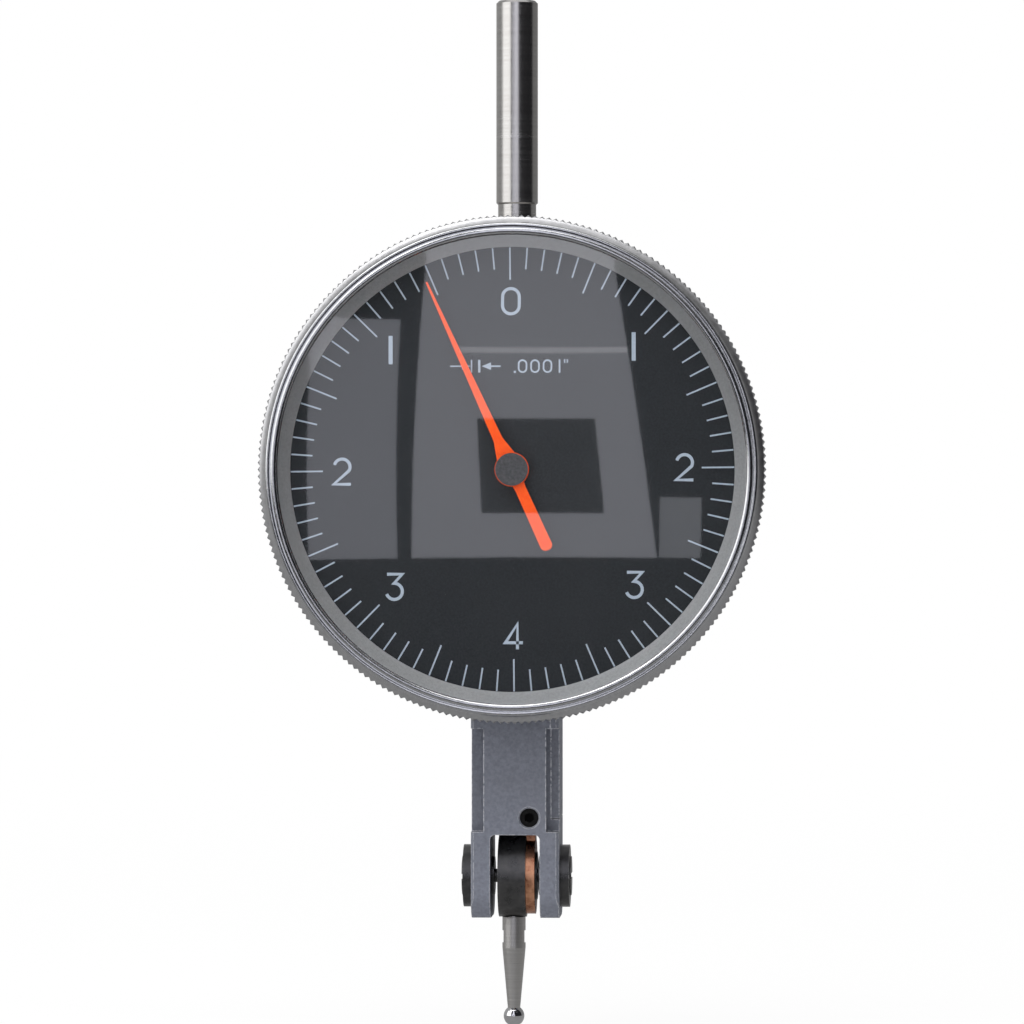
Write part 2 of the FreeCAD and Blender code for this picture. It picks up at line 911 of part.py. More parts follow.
def pointer_hub():
    back = pointer_y - pointer_t / 2
    disc = rod("y", hub_r, back - hub_t, back, 0, dial_z)
    return disc.cut(rod("y", arbor_r, pointer_y - pointer_arbor_over, back + beyond, 0, dial_z))


# ---- dial case, bezel, crystal --------------------------------------------
def case_cup():
    """Shallow cup; its front rim is a flange that the bezel's clips reach behind."""
    profile = [
        (0, front_y),
        (cup_hub_r, front_y),
        (cup_hub_r, cup_step),
        (cup_r, cup_step),
        (cup_r, cup_front),
        (cup_r - cup_wall, cup_front),
        (cup_r - cup_wall, floor_y),
        (0, floor_y),
    ]
    window = block(
        window_x0, window_x1, floor_y - beyond, front_y + beyond, dial_z - window_z, dial_z + window_z
    )
    return turned("y", profile, 0, dial_z).cut(window)


def bezel_clips():
    """Small plates on the bezel's back that hold it on the cup."""
    low = dial_z + clip_in_r
    high = dial_z + clip_out_r
    corners = [(-clip_half, low), (clip_half, low), (clip_half, high), (-clip_half, high)]
    return spin(slab("xz", corners, bezel_back, bezel_back + clip_t), "y", 0, dial_z, clips)


def knurled_band():
    """A tube with many V-shaped points round its outside."""
    corners = []
    for i in range(2 * knurl_teeth):
        r = bezel_r if i % 2 == 0 else valley_r
        corners.append(polar(r, math.pi * i / knurl_teeth, 0, dial_z))
    front = shoulder_y + shoulder_drop
    star = slab("xz", corners, bezel_back, front)
    return star.cut(rod("y", band_bore_r, bezel_back + beyond, front - beyond, 0, dial_z))


def bezel():
    """Lathe-turned ring; the knurled band sits behind its sloping shoulder."""
    profile = [
        (bezel_bore, bezel_back),
        (valley_r - knurl_depth, bezel_back),
        (valley_r - knurl_depth, shoulder_y + shoulder_drop),
        (valley_r, shoulder_y + shoulder_drop),
        (shoulder_r, shoulder_y),
        (crystal_r, bead_y),
        (crystal_r, crystal_y),
        (dial_seen_r, dial_y),
        (bezel_bore, dial_y),
    ]
    return join([turned("y", profile, 0, dial_z), knurled_band()])


def dome(edge_r, edge_y, top_y):
    """A ball so big that its cap rises from edge_y at edge_r to top_y at the middle."""
    rise = edge_y - top_y
    r = (edge_r ** 2 + rise ** 2) / (2 * rise)
    return Part.makeSphere(r, V(0, top_y + r, dial_z))


def crystal():
    rim_y = crystal_y - crystal_edge
    top = rim_y - crystal_dome
    edge_r = crystal_r - fit_play
    lip = edge_r - crystal_rim
    blank = rod("y", edge_r, crystal_y, top - beyond, 0, dial_z)
    lens = blank.common(dome(edge_r, rim_y, top))
    hollow = rod("y", lip, crystal_y + beyond, top - beyond, 0, dial_z)
    return lens.cut(hollow.common(dome(lip, crystal_y, top + crystal_t)))


def dial_face():
    return tube("y", bezel_bore - fit_play, dial_hole_r, dial_y, dial_y + dial_t, 0, dial_z)


# ---- write every piece ----------------------------------------------------
def write(name, made):
    shapes = made if isinstance(made, list) else [made]
    solids = []
    for shape in shapes:
        solids += shape.Solids
    whole = solids[0] if len(solids) == 1 else Part.makeCompound(solids)
    if not whole.isValid():
        print("not valid:", name)
    box = whole.BoundBox
    print(
        name, len(solids), round(whole.Volume, 3), len(whole.Faces),
        [round(v, 2) for v in (box.XMin, box.YMin, box.ZMin, box.XMax, box.YMax, box.ZMax)],
    )
    whole.exportStep("parts/" + name + ".step")


PIECES = [
    ("housing", housing),
    ("side_cover", side_cover),
    ("cover_screws", cover_screws),
    ("stop_screw", stop_screw),
    ("clamp_block", clamp_block),
    ("clamp_jaw", clamp_jaw),
    ("clamp_screw", clamp_screw),
    ("stem", stem),
    ("bearing_screws", bearing_screws),
    ("lock_nuts", lock_nuts),
    ("pivot_shaft", pivot_shaft),
    ("contact_holder", contact_holder),
    ("contact_lever", contact_lever),
    ("lever_pin", lever_pin),
    ("stylus", stylus),
    ("stylus_ball", stylus_ball),
    ("sector_arbor", sector_arbor),
    ("sector_wheel", sector_wheel),
    ("sector_fork", sector_fork),
    ("crown_arbor", crown_arbor),
    ("crown_pinion", crown_pinion),
    ("crown_wheel", crown_wheel),
    ("pointer_arbor", pointer_arbor),
    ("pointer_pinion", pointer_pinion),
    ("rear_bridge", rear_bridge),
    ("front_bridge", front_bridge),
    ("hairspring", hairspring),
    ("hairspring_stud", hairspring_stud),
    ("hairspring_collet", hairspring_collet),
    ("pointer", pointer),
    ("pointer_hub", pointer_hub),
    ("case_cup", case_cup),
    ("bezel", bezel),
    ("bezel_clips", bezel_clips),
    ("crystal", crystal),
    ("dial_face", dial_face),
]

for piece, make in PIECES:
    write(piece, make())
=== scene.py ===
import json
import math

import bmesh
import bpy
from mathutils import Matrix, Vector


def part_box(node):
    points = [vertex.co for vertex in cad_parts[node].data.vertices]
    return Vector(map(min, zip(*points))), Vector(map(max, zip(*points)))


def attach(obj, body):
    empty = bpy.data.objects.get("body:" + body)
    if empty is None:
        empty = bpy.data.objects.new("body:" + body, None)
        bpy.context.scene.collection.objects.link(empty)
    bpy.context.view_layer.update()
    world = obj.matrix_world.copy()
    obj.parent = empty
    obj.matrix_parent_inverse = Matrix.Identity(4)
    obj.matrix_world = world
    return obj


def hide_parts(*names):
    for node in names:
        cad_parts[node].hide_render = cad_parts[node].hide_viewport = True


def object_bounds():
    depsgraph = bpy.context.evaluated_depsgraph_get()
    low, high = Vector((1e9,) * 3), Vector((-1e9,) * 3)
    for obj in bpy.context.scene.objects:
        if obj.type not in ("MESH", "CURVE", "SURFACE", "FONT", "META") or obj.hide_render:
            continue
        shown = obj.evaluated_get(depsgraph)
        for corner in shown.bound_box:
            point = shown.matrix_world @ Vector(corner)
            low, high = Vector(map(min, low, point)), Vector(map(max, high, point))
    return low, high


# A dial test indicator. Metres; the stem points up +Z and the dial faces -Y.

MM = 0.001
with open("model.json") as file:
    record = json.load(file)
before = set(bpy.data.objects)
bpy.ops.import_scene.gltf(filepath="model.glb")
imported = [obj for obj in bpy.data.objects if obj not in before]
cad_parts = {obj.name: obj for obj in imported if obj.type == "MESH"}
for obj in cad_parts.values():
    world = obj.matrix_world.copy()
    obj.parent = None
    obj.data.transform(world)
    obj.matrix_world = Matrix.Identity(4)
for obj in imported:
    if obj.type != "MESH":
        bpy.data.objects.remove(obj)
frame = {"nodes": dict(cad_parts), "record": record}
CAD_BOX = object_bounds()
NODES = frame["nodes"]


# ---- places taken from the frame ---------------------------------------------
def middle(node):
    low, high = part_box(node)
    return (low + high) / 2


BEZEL_LOW, BEZEL_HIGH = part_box("bezel")
DIAL_CENTRE = Vector((0.0, 0.0, middle("bezel").z))
BEZEL_R = (BEZEL_HIGH.x - BEZEL_LOW.x) / 2
BEZEL_FRONT = BEZEL_LOW.y
BEZEL_BACK = BEZEL_HIGH.y
DIAL_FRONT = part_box("dial_face")[0].y
CRYSTAL_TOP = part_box("crystal")[0].y
CRYSTAL_BACK = BEZEL_FRONT + 1.2 * MM
CRYSTAL_R = BEZEL_R - 1.82 * MM
DIAL_SEEN_R = BEZEL_R - 3.0 * MM


# ---- meshes -------------------------------------------------------------------
def add_piece(name, mesh, body, material, smooth=None):
    """Link a finished mesh, dress it and let it ride on a body of the frame."""
    piece = bpy.data.objects.new(name, mesh)
    bpy.context.scene.collection.objects.link(piece)
    mesh.materials.clear()
    mesh.materials.append(material)
    for face in mesh.polygons:
        face.use_smooth = smooth is not None
    if smooth is not None:
        mark_sharp(mesh, smooth)
    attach(piece, body)
    return piece


def mark_sharp(mesh, angle):
    """Edges that turn by more than the angle in degrees stay crisp."""
    limit = math.radians(angle)
    bm = bmesh.new()
    bm.from_mesh(mesh)
    for edge in bm.edges:
        if len(edge.link_faces) != 2 or edge.calc_face_angle(0.0) > limit:
            edge.smooth = False
    bm.to_mesh(mesh)
    bm.free()


def mesh_of(name, bm):
    bmesh.ops.remove_doubles(bm, verts=bm.verts, dist=1e-8)
    bmesh.ops.recalc_face_normals(bm, faces=bm.faces)
    mesh = bpy.data.meshes.new(name)
    bm.to_mesh(mesh)
    bm.free()
    return mesh


def lathe(name, profile, steps, centre, closed=True):
    """Turn a profile about the Y axis through the centre.

    Each stop is (radius, y) or (valley radius, y, tip radius); a stop with a tip
    radius swings between the two from one step to the next.
    """
    bm = bmesh.new()
    rings = []
    for stop in profile:
        low = stop[0]
        tip = stop[2] if len(stop) > 2 else low
        ring = []
        for i in range(steps):
            angle = 2 * math.pi * i / steps
            r = tip if i % 2 == 0 else low
            spot = (centre.x + r * math.cos(angle), stop[1], centre.z + r * math.sin(angle))
            ring.append(bm.verts.new(spot))
        rings.append(ring)
    pairs = list(zip(rings, rings[1:]))
    if closed:
        pairs.append((rings[-1], rings[0]))
    for a, b in pairs:
        for i in range(steps):
            j = (i + 1) % steps
            bm.faces.new((a[i], a[j], b[j], b[i]))
    return mesh_of(name, bm)


def arc_stops(r0, y0, r1, y1, bulge, count):
    """Points from one place to another with a sideways bulge, ends left out."""
    stops = []
    for i in range(1, count):
        t = i / count
        lift = bulge * 4 * t * (1 - t)
        dr, dy = r1 - r0, y1 - y0
        size = math.hypot(dr, dy)
        stops.append((r0 + dr * t + lift * dy / size, y0 + dy * t - lift * dr / size))
    return stops


# ---- shader helper --------------------------------------------------------------
class Wire:
    """A socket that takes part in Python arithmetic."""

    def __init__(self, finish, socket):
        self.finish = finish
        self.socket = socket

    def math(self, operation, other, swap=False):
        first, second = (other, self) if swap else (self, other)
        return self.finish.node("ShaderNodeMath", {"operation": operation}, {0: first, 1: second})

    def __add__(self, other):
        return self.math("ADD", other)

    __radd__ = __add__

    def __mul__(self, other):
        return self.math("MULTIPLY", other)

    __rmul__ = __mul__

    def __sub__(self, other):
        return self.math("SUBTRACT", other)

    def __rsub__(self, other):
        return self.math("SUBTRACT", other, swap=True)

    def __pow__(self, other):
        return self.math("POWER", other)


class Finish:
    """One procedural material and the nodes in it."""

    def __init__(self, name):
        self.material = bpy.data.materials.new(name)
        self.material.use_nodes = True
        self.tree = self.material.node_tree
        self.tree.nodes.clear()
        self.place = Wire(self, self.tree.nodes.new("ShaderNodeTexCoord").outputs["Object"])

    def node(self, kind, settings=None, sockets=None, output=0):
        made = self.tree.nodes.new(kind)
        for key, value in (settings or {}).items():
            if key == "stops":
                self.set_stops(made.color_ramp, value)
            else:
                setattr(made, key, value)
        for key, value in (sockets or {}).items():
            if isinstance(value, Wire):
                self.tree.links.new(value.socket, made.inputs[key])
            else:
                made.inputs[key].default_value = value
        return Wire(self, made.outputs[output])

    @staticmethod
    def set_stops(ramp, stops):
        while len(ramp.elements) < len(stops):
            ramp.elements.new(0.5)
        for element, (position, shade) in zip(ramp.elements, stops):
            element.position = position
            element.color = (*shade, 1.0)

    def noise(self, scale, detail=2.0, rough=0.5, place=None):
        inputs = {"Vector": place or self.place, "Scale": scale, "Detail": detail, "Roughness": rough}
        return self.node("ShaderNodeTexNoise", {}, inputs)

    def stretched(self, x, y, z):
        return self.node("ShaderNodeMapping", {}, {"Vector": self.place, "Scale": (x, y, z)})

    def limit(self, value, low, high, to_low=0.0, to_high=1.0):
        inputs = {"Value": value, "From Min": low, "From Max": high, "To Min": to_low, "To Max": to_high}
        return self.node("ShaderNodeMapRange", {}, inputs)

    def blend(self, factor, a, b):
        sockets = {0: factor, 6: self.full(a), 7: self.full(b)}
        return self.node("ShaderNodeMix", {"data_type": "RGBA"}, sockets, 2)

    def bump(self, height, strength, distance):
        inputs = {"Height": height, "Strength": strength, "Distance": distance}
        return self.node("ShaderNodeBump", {}, inputs)

    # Edge mask for real paint chips and rubbed oxide, and for the pointer's painted edge highlight.
    def edge_wear_and_highlight(self, radius, low, high):
        """Near 1 on crisp outer edges, 0 on flats."""
        soft = self.node("ShaderNodeBevel", {"samples": 6}, {"Radius": radius})
        hard = self.node("ShaderNodeNewGeometry", output="Normal")
        same = self.node("ShaderNodeVectorMath", {"operation": "DOT_PRODUCT"}, {0: soft, 1: hard}, "Value")
        return self.limit(1 - same, low, high)

    def close(self, **sockets):
        """Principled surface from named sockets, joined to the output."""
        values = {key.replace("_", " "): self.full(value) for key, value in sockets.items()}
        self.output(self.node("ShaderNodeBsdfPrincipled", {}, values, "BSDF"))
        return self.material

    def glow(self, shade):
        """A plain shade that gives off its own light."""
        return self.node("ShaderNodeEmission", {}, {"Color": self.full(shade), "Strength": 1.0}, "Emission")

    @staticmethod
    def full(value):
        """A colour gets its alpha; anything else stays as it is."""
        return (*value, 1.0) if isinstance(value, tuple) and len(value) == 3 else value

    def output(self, shader):
        out = self.tree.nodes.new("ShaderNodeOutputMaterial")
        self.tree.links.new(shader.socket, out.inputs["Surface"])


# ---- finishes --------------------------------------------------------------------
def hammered_paint():
    paint = Finish("blue grey wrinkle paint")
    grain = paint.noise(3200, 3.0, 0.6)
    cloud = paint.noise(160, 2.0, 0.5)
    tone = paint.blend(paint.limit(grain, 0.35, 0.7), (0.108, 0.117, 0.148), (0.155, 0.166, 0.205))
    tone = paint.blend(paint.limit(cloud, 0.4, 0.7, 0.0, 0.35), tone, (0.13, 0.137, 0.165))
    chipped = paint.edge_wear_and_highlight(0.00016, 0.006, 0.07) * paint.limit(paint.noise(2400, 3.0, 0.7), 0.4, 0.54)
    tone = paint.blend(chipped, tone, (0.6, 0.6, 0.62))
    rough = paint.limit(grain, 0.3, 0.7, 0.42, 0.62) - chipped * 0.2
    dents = paint.bump(grain, 0.6, 0.00006)
    return paint.close(Base_Color=tone, Roughness=rough, Metallic=chipped * 0.8, Normal=dents)


def black_oxide():
    steel = Finish("black oxide steel")
    mottle = steel.noise(900, 3.0, 0.6)
    tone = steel.blend(steel.limit(mottle, 0.3, 0.75), (0.05, 0.05, 0.051), (0.1, 0.098, 0.098))
    rubbed = steel.edge_wear_and_highlight(0.0001, 0.01, 0.12) * steel.limit(steel.noise(1800, 2.0, 0.6), 0.4, 0.65)
    tone = steel.blend(rubbed * 0.7, tone, (0.3, 0.29, 0.28))
    rough = steel.limit(mottle, 0.3, 0.7, 0.24, 0.4)
    marks = steel.bump(mottle, 0.15, 0.00003)
    return steel.close(Base_Color=tone, Roughness=rough, Metallic=0.85, Normal=marks)


def ground_steel(name, tone_low, tone_high, rough_low, rough_high, fine=2600, relief=0.12):
    """Ground round its axis: fine rings that run across the stem's length."""
    steel = Finish(name)
    rings = steel.noise(1.0, 3.0, 0.7, steel.stretched(60, 60, fine))
    cloud = steel.noise(300, 2.0, 0.5)
    tone = steel.blend(steel.limit(rings, 0.3, 0.7), tone_low, tone_high)
    tone = steel.blend(steel.limit(cloud, 0.4, 0.75, 0.0, 0.3), tone, tone_low)
    rough = steel.limit(rings, 0.3, 0.7, rough_low, rough_high)
    marks = steel.bump(rings, relief, 0.00003)
    return steel.close(Base_Color=tone, Roughness=rough, Metallic=1.0, Normal=marks)


def turned_steel(name, tone_low, tone_high, rough_low, rough_high, relief=0.1, grain=1500):
    steel = Finish(name)
    speck = steel.noise(grain, 3.0, 0.6)
    cloud = steel.noise(250, 2.0, 0.5)
    tone = steel.blend(steel.limit(speck, 0.3, 0.7), tone_low, tone_high)
    rough = steel.limit(speck + cloud, 0.7, 1.3, rough_low, rough_high)
    marks = steel.bump(speck, relief, 0.00002)
    return steel.close(Base_Color=tone, Roughness=rough, Metallic=1.0, Normal=marks)


def turned_copper():
    """Lathe rings round the pivot and a few dark stains."""
    copper = Finish("turned copper alloy")
    pivot = tuple(middle("contact_holder"))
    here = copper.node("ShaderNodeVectorMath", {"operation": "SUBTRACT"}, {0: copper.place, 1: pivot})
    flat = copper.node("ShaderNodeVectorMath", {"operation": "MULTIPLY"}, {0: here, 1: (0.0, 1.0, 1.0)})
    away = copper.node("ShaderNodeVectorMath", {"operation": "LENGTH"}, {0: flat}, "Value")
    rings = copper.node("ShaderNodeMath", {"operation": "SINE"}, {0: away * 42000})
    stain = copper.noise(900, 3.0, 0.65)
    tone = copper.blend(copper.limit(stain, 0.35, 0.65), (0.28, 0.11, 0.06), (0.68, 0.35, 0.21))
    marks = copper.bump(rings * 0.3 + stain, 0.3, 0.00003)
    rough = copper.limit(stain, 0.3, 0.7, 0.22, 0.42)
    return copper.close(Base_Color=tone, Roughness=rough, Metallic=1.0, Normal=marks)


def dial_black():
    paint = Finish("matt black dial paint")
    grain = paint.noise(5200, 2.0, 0.6)
    cloud = paint.noise(90, 2.0, 0.5)
    tone = paint.blend(paint.limit(grain, 0.3, 0.7), (0.018, 0.020, 0.023), (0.028, 0.031, 0.036))
    tone = paint.blend(paint.limit(cloud, 0.4, 0.7, 0.0, 0.3), tone, (0.030, 0.032, 0.036))
    rough = paint.limit(grain, 0.3, 0.7, 0.6, 0.75)
    marks = paint.bump(grain, 0.05, 0.00001)
    return paint.close(Base_Color=tone, Roughness=rough, Specular_IOR_Level=0.12, Normal=marks)


def dial_ink():
    ink = Finish("pale dial ink")
    grain = ink.noise(4000, 2.0, 0.5)
    tone = ink.blend(ink.limit(grain, 0.3, 0.7), (0.36, 0.42, 0.51), (0.42, 0.48, 0.57))
    rough = ink.limit(grain, 0.3, 0.7, 0.5, 0.65)
    return ink.close(Base_Color=tone, Roughness=rough, Specular_IOR_Level=0.2)


def pointer_paint():
    paint = Finish("orange pointer paint")
    grain = paint.noise(3000, 2.0, 0.5)
    tone = paint.blend(paint.limit(grain, 0.3, 0.7), (0.96, 0.085, 0.004), (1.0, 0.11, 0.008))
    # Painted highlight: the pointer's crisp edges are made a lighter orange, as if they catch the light.
    edge = paint.edge_wear_and_highlight(0.00005, 0.05, 0.3)
    tone = paint.blend(edge * 0.35, tone, (1.0, 0.16, 0.03))
    rough = paint.limit(grain, 0.3, 0.7, 0.34, 0.48)
    marks = paint.bump(grain, 0.05, 0.00001)
    return paint.close(Base_Color=tone, Roughness=rough, Specular_IOR_Level=0.1, Normal=marks)


# The mirror of the crystal's two faces, told on the outer one alone.
BOTH_FACES = 1.9


def clear_crystal():
    """Thin clear plastic: it lets light straight through and mirrors a little."""
    plastic = Finish("clear crystal")
    mirror = plastic.node("ShaderNodeBsdfGlossy", {}, {"Color": (1, 1, 1, 1), "Roughness": 0.03}, "BSDF")
    through = plastic.node("ShaderNodeBsdfTransparent", {}, {"Color": (0.985, 0.99, 0.99, 1)}, "BSDF")
    inside = plastic.node("ShaderNodeNewGeometry", output="Backfacing")
    share = plastic.node("ShaderNodeFresnel", {}, {"IOR": 1.49}) * (1 - inside) * BOTH_FACES
    plastic.output(plastic.node("ShaderNodeMixShader", {}, {0: share, 1: through, 2: mirror}, "Shader"))
    return plastic.material


def brass_finish():
    return turned_steel("satin brass", (0.52, 0.36, 0.13), (0.66, 0.48, 0.2), 0.25, 0.4, 0.1)


def satin_silver():
    """Blasted silver plating, nearly matt."""
    plating = Finish("satin silver slope")
    grain = plating.noise(4200, 2.0, 0.6)
    tone = plating.blend(plating.limit(grain, 0.3, 0.7), (0.4, 0.405, 0.415), (0.5, 0.505, 0.515))
    rough = plating.limit(grain, 0.3, 0.7, 0.42, 0.55)
    marks = plating.bump(grain, 0.1, 0.00002)
    return plating.close(Base_Color=tone, Roughness=rough, Metallic=0.6, Normal=marks)


def hole_shade_black():
    """Blacked steel at the bottom of its hole, darkened to near black as painted shade of the hole."""
    steel = Finish("sunk screw in painted hole shade")
    grain = steel.noise(2400, 2.0, 0.6)
    tone = steel.blend(steel.limit(grain, 0.62, 0.75), (0.004, 0.004, 0.004), (0.03, 0.03, 0.03))
    rough = steel.limit(grain, 0.3, 0.7, 0.6, 0.75)
    return steel.close(Base_Color=tone, Roughness=rough, Specular_IOR_Level=0.15)


def bezel_plating():
    """Bright rings inside, a rougher knurled band outside."""
    plating = Finish("satin bezel plating")
    speck = plating.noise(1800, 3.0, 0.6)
    face_on = {0: plating.place, 1: (1.0, 0.0, 1.0)}
    flat = plating.node("ShaderNodeVectorMath", {"operation": "MULTIPLY"}, face_on)
    hub = (DIAL_CENTRE.x, 0.0, DIAL_CENTRE.z)
    away = plating.node("ShaderNodeVectorMath", {"operation": "DISTANCE"}, {0: flat, 1: hub}, "Value")
    band = plating.limit(away, BEZEL_R - 0.74 * MM, BEZEL_R - 0.68 * MM)
    bright = plating.blend(plating.limit(speck, 0.3, 0.7), (0.4, 0.405, 0.415), (0.48, 0.485, 0.495))
    matt = plating.blend(plating.limit(speck, 0.3, 0.7), (0.42, 0.42, 0.43), (0.5, 0.5, 0.51))
    tone = plating.blend(band, bright, matt)
    rough = plating.limit(speck, 0.3, 0.7, 0.16, 0.24) + band * 0.16
    marks = plating.bump(speck, 0.05, 0.00002)
    return plating.close(Base_Color=tone, Roughness=rough, Metallic=1.0, Normal=marks)


FINISHES = {
    "paint": hammered_paint(),
    "black_steel": black_oxide(),
    "ground_steel": ground_steel("ground stem steel", (0.36, 0.35, 0.34), (0.46, 0.45, 0.44), 0.2, 0.28),
    "steel": turned_steel("bright steel", (0.45, 0.45, 0.46), (0.58, 0.58, 0.59), 0.2, 0.32),
    "stylus_steel": ground_steel("stylus steel", (0.4, 0.39, 0.38), (0.52, 0.51, 0.5), 0.26, 0.36, 5000, 0.15),
    "ball_chrome": turned_steel("polished ball", (0.5, 0.5, 0.51), (0.58, 0.58, 0.59), 0.04, 0.09, 0.01),
    "bronze": turned_copper(),
    "spring_bronze": turned_steel("spring bronze", (0.5, 0.3, 0.12), (0.62, 0.4, 0.18), 0.2, 0.3),
    "brass_plate": brass_finish(),
    "pointer_orange": pointer_paint(),
    "hub_steel": turned_steel("brushed hub", (0.1, 0.1, 0.101), (0.16, 0.16, 0.161), 0.34, 0.46, 0.2, 3600),
    "case_steel": turned_steel("case steel", (0.36, 0.36, 0.37), (0.45, 0.45, 0.46), 0.28, 0.42),
    "bezel_chrome": bezel_plating(),
    "crystal": clear_crystal(),
    "dial_black": dial_black(),
}
DIAL_INK = dial_ink()
SILVER_SLOPE = satin_silver()
# Painted shade: the stop screw is made near black for the shade at the bottom of its hole.
PAINTED_SHADE_PARTS = {"stop_screw": hole_shade_black()}

for row in frame["record"]["subparts"]:
    node = NODES[row["node"]]
    node.data.materials.clear()
    node.data.materials.append(PAINTED_SHADE_PARTS.get(row["node"], FINISHES[row["material_slot"]]))
    for face in node.data.polygons:
        face.use_smooth = True
    mark_sharp(node.data, 25)


# ---- bezel ---------------------------------------------------------------------------
KNURLS = 230
KNURL_DEPTH = 0.235 * MM


def build_bezel():
    front = BEZEL_FRONT
    back = BEZEL_BACK
    r = BEZEL_R
    valley = r - KNURL_DEPTH
    foot = CRYSTAL_R + 0.02 * MM
    bore = r - 2.32 * MM
    profile = [
        (bore, back),
        (valley - 0.45 * MM, back),
        (valley - 0.06 * MM, back - 0.22 * MM),
        (valley, back - 0.32 * MM, r - 0.02 * MM),
        (valley, back - 0.4 * MM, r),
        (valley, front + 1.00 * MM, r),
        (valley - 0.01 * MM, front + 0.86 * MM, valley + 0.06 * MM),
        (valley - 0.03 * MM, front + 0.83 * MM),
        (r - 0.70 * MM, front + 0.42 * MM),
        (r - 0.76 * MM, front + 0.30 * MM),
        (r - 0.80 * MM, front + 0.22 * MM),
    ]
    outer_ring = (r - 0.80 * MM, front + 0.22 * MM, r - 1.10 * MM, front + 0.16 * MM)
    profile += arc_stops(*outer_ring, -0.05 * MM, 4)
    profile += [
        (r - 1.12 * MM, front + 0.18 * MM),
        (r - 1.16 * MM, front + 0.42 * MM),
        (r - 1.26 * MM, front + 0.42 * MM),
        (r - 1.30 * MM, front + 0.12 * MM),
    ]
    inner_ring = (r - 1.30 * MM, front + 0.12 * MM, r - 1.76 * MM, front + 0.10 * MM)
    profile += arc_stops(*inner_ring, -0.08 * MM, 5)
    profile += [
        (foot + 0.01 * MM, front + 0.16 * MM),
        (foot, front + 0.3 * MM),
        (foot, CRYSTAL_BACK),
        (DIAL_SEEN_R + 0.02 * MM, DIAL_FRONT - 0.03 * MM),
        (DIAL_SEEN_R, DIAL_FRONT),
        (bore, DIAL_FRONT),
    ]
    mesh = lathe("bezel_turned", profile, 2 * KNURLS, DIAL_CENTRE)
    piece = add_piece("bezel_turned", mesh, "bezel_unit", FINISHES["bezel_chrome"], 32)
    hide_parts("bezel")


def build_dial_surround():
    """The matt silver slope between the dial and the crystal."""
    lift = 0.05 * MM
    outer = CRYSTAL_R - 0.04 * MM
    inner = DIAL_SEEN_R + 0.03 * MM
    profile = [
        (outer, CRYSTAL_BACK + 0.03 * MM),
        (inner, DIAL_FRONT - 0.06 * MM),
        (inner, DIAL_FRONT - 0.01 * MM),
        (outer + 0.01 * MM, CRYSTAL_BACK + 0.03 * MM + lift),
    ]
    mesh = lathe("dial_surround", profile, 240, DIAL_CENTRE)
    add_piece("dial_surround", mesh, "bezel_unit", SILVER_SLOPE, 30)


# ---- crystal -------------------------------------------------------------------------
def build_crystal():
    rim = BEZEL_FRONT + 0.5 * MM
    edge = CRYSTAL_R
    wall = 0.9 * MM
    lip = edge - 0.5 * MM
    rings = 28
    outer = dome_stops(edge, rim, CRYSTAL_TOP, rings)
    inner = dome_stops(lip, CRYSTAL_BACK, CRYSTAL_TOP + wall, rings)
    profile = outer + [(edge, CRYSTAL_BACK)] + inner[::-1]
    mesh = lathe("crystal_dome", profile, 180, DIAL_CENTRE, closed=False)
    piece = add_piece("crystal_dome", mesh, "bezel_unit", FINISHES["crystal"], 40)
    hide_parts("crystal")


def dome_stops(edge_r, edge_y, top_y, count):
    """Stops of a shallow ball cap from its middle out to its edge."""
    rise = edge_y - top_y
    r = (edge_r ** 2 + rise ** 2) / (2 * rise)
    stops = []
    for i in range(count + 1):
        out = edge_r * i / count
        stops.append((out, top_y + r - math.sqrt(r * r - out * out)))
    return stops


# ---- dial printing -------------------------------------------------------------------
INK_LIFT = 0.004 * MM
INK_THICK = 0.012 * MM
DIAL_TWIST = math.radians(0.55)


def dial_spot(u, v, lift):
    """Place on the dial: u right, v up from its centre."""
    return Vector((DIAL_CENTRE.x + u, DIAL_FRONT - lift, DIAL_CENTRE.z + v))


def ink_bar(bm, corners):
    """A flat printed patch through corners given as (u, v)."""
    low = [bm.verts.new(dial_spot(u, v, INK_LIFT)) for u, v in corners]
    high = [bm.verts.new(dial_spot(u, v, INK_LIFT + INK_THICK)) for u, v in corners]
    bm.faces.new(high)
    bm.faces.new(low[::-1])
    for i in range(len(corners)):
        j = (i + 1) % len(corners)
        bm.faces.new((low[i], low[j], high[j], high[i]))


def ink_stroke(bm, points, width, closed=False):
    """A pen line of even width through the points, with mitred turns."""
    left = []
    right = []
    count = len(points)
    for i, (u, v) in enumerate(points):
        before = points[i - 1] if i > 0 or closed else None
        after = points[(i + 1) % count] if i < count - 1 or closed else None
        sides = []
        if before is not None:
            sides.append(Vector((u - before[0], v - before[1])).normalized())
        if after is not None:
            sides.append(Vector((after[0] - u, after[1] - v)).normalized())
        along = sum(sides, Vector((0.0, 0.0))).normalized()
        across = Vector((-along.y, along.x))
        reach = width / 2 / max(0.5, across.dot(Vector((-sides[0].y, sides[0].x))))
        left.append((u + across.x * reach, v + across.y * reach))
        right.append((u - across.x * reach, v - across.y * reach))
    spans = count if closed else count - 1
    for i in range(spans):
        j = (i + 1) % count
        ink_bar(bm, [right[i], right[j], left[j], left[i]])


def turn_about(points, angle):
    c, s = math.cos(angle), math.sin(angle)
    return [(u * c - v * s, u * s + v * c) for u, v in points]


def scale_marks(bm):
    divisions = 80
    long_every = 5
    outer = DIAL_SEEN_R - 0.02 * MM
    for k in range(divisions):
        length = (3.06 if k % long_every == 0 else 2.02) * MM
        half = 0.075 * MM
        bar = [(-half, outer), (half, outer), (half, outer - length), (-half, outer - length)]
        ink_bar(bm, turn_about(bar, 2 * math.pi * k / divisions + DIAL_TWIST))


